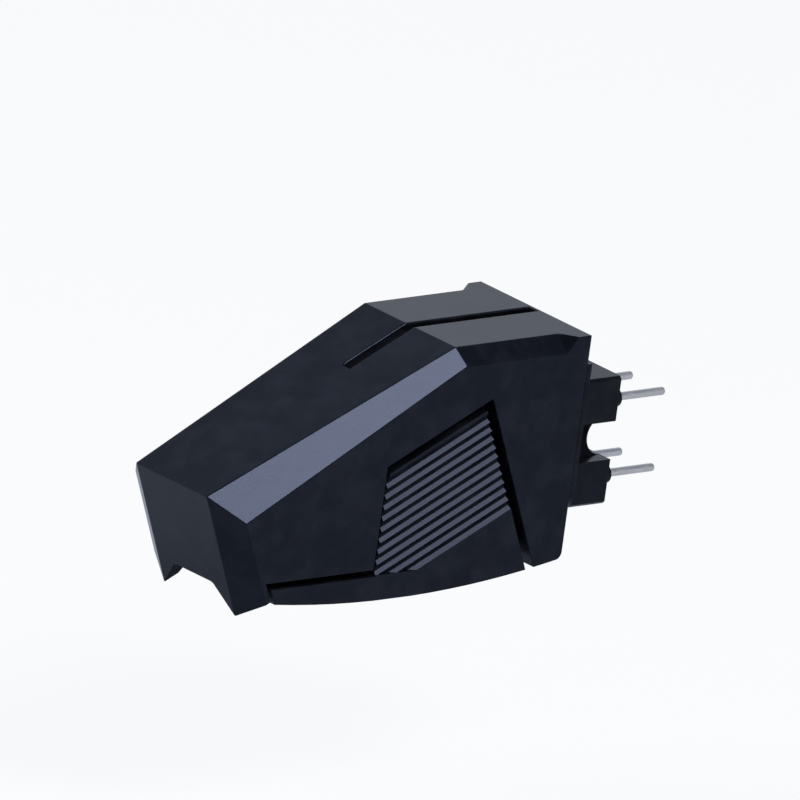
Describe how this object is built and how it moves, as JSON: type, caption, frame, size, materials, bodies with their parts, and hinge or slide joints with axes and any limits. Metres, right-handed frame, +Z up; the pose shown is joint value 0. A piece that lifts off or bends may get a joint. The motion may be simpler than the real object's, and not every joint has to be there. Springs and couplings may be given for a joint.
{
  "type": "plug-in phono cartridge",
  "caption": "Wedge-shaped black plug-in phono cartridge with faceted sides, ribbed grips on a pull-off stylus holder, a sprung cantilever and rear contact pins.",
  "frame": {"origin": "middle of the four contact pins, at the plane where they leave their collars", "axes": "+X back along the pins into the arm's socket, +Z up towards the flat top, +Y to the right as seen from the pins looking forward"},
  "size_m": [0.0447, 0.0126, 0.0205],
  "materials": {
    "body_plastic": "satin moulded black",
    "terminal_plastic": "satin moulded black",
    "holder_plastic": "satin moulded black",
    "pin_metal": "bright plated",
    "carrier_plastic": "moulded grey",
    "shield_metal": "cut sheet",
    "core_metal": "stacked sheet",
    "bobbin_plastic": "moulded cream",
    "copper_wire": "enamelled",
    "tube_brass": "turned",
    "screw_steel": "plain",
    "damper_rubber": "soft matte",
    "cantilever_aluminium": "drawn",
    "magnet_metal": "ground",
    "diamond": "polished"
  },
  "bodies": {
    "cartridge_body": {"body_shell": "body_plastic", "terminal_block": "terminal_plastic", "pin_upper_left": "pin_metal", "pin_upper_right": "pin_metal", "pin_lower_left": "pin_metal", "pin_lower_right": "pin_metal", "generator_carrier": "carrier_plastic", "shield_plate": "shield_metal", "core_left": "core_metal", "core_right": "core_metal", "bobbin_left": "bobbin_plastic", "bobbin_right": "bobbin_plastic", "coil_left": "copper_wire", "coil_right": "copper_wire", "leads_left": "copper_wire", "leads_right": "copper_wire"},
    "stylus_assembly": {"stylus_holder": "holder_plastic", "suspension_tube": "tube_brass", "set_screw": "screw_steel", "tie_wire": "screw_steel"},
    "suspension": {"damper_ring": "damper_rubber"},
    "cantilever_arm": {"cantilever": "cantilever_aluminium", "magnet_carrier": "carrier_plastic", "magnet_left": "magnet_metal", "magnet_right": "magnet_metal", "stylus_tip": "diamond"}
  },
  "joints": [
    {"name": "stylus_pull", "type": "slide", "parent": "cartridge_body", "child": "stylus_assembly", "axis": [0.4139, 0, -0.9103], "range_m": [0, 0.014]},
    {"name": "cantilever_sway", "type": "hinge", "parent": "stylus_assembly", "child": "suspension", "pos_m": [-0.0268, 0, -0.0076], "axis": [-0.3649, 0, 0.9311], "range_deg": [-4, 4], "stiffness_Nm_per_rad": 0.002},
    {"name": "cantilever_lift", "type": "hinge", "parent": "suspension", "child": "cantilever_arm", "pos_m": [-0.0268, 0, -0.0076], "axis": [0, 1, 0], "range_deg": [-3, 6], "stiffness_Nm_per_rad": 0.002}
  ]
}
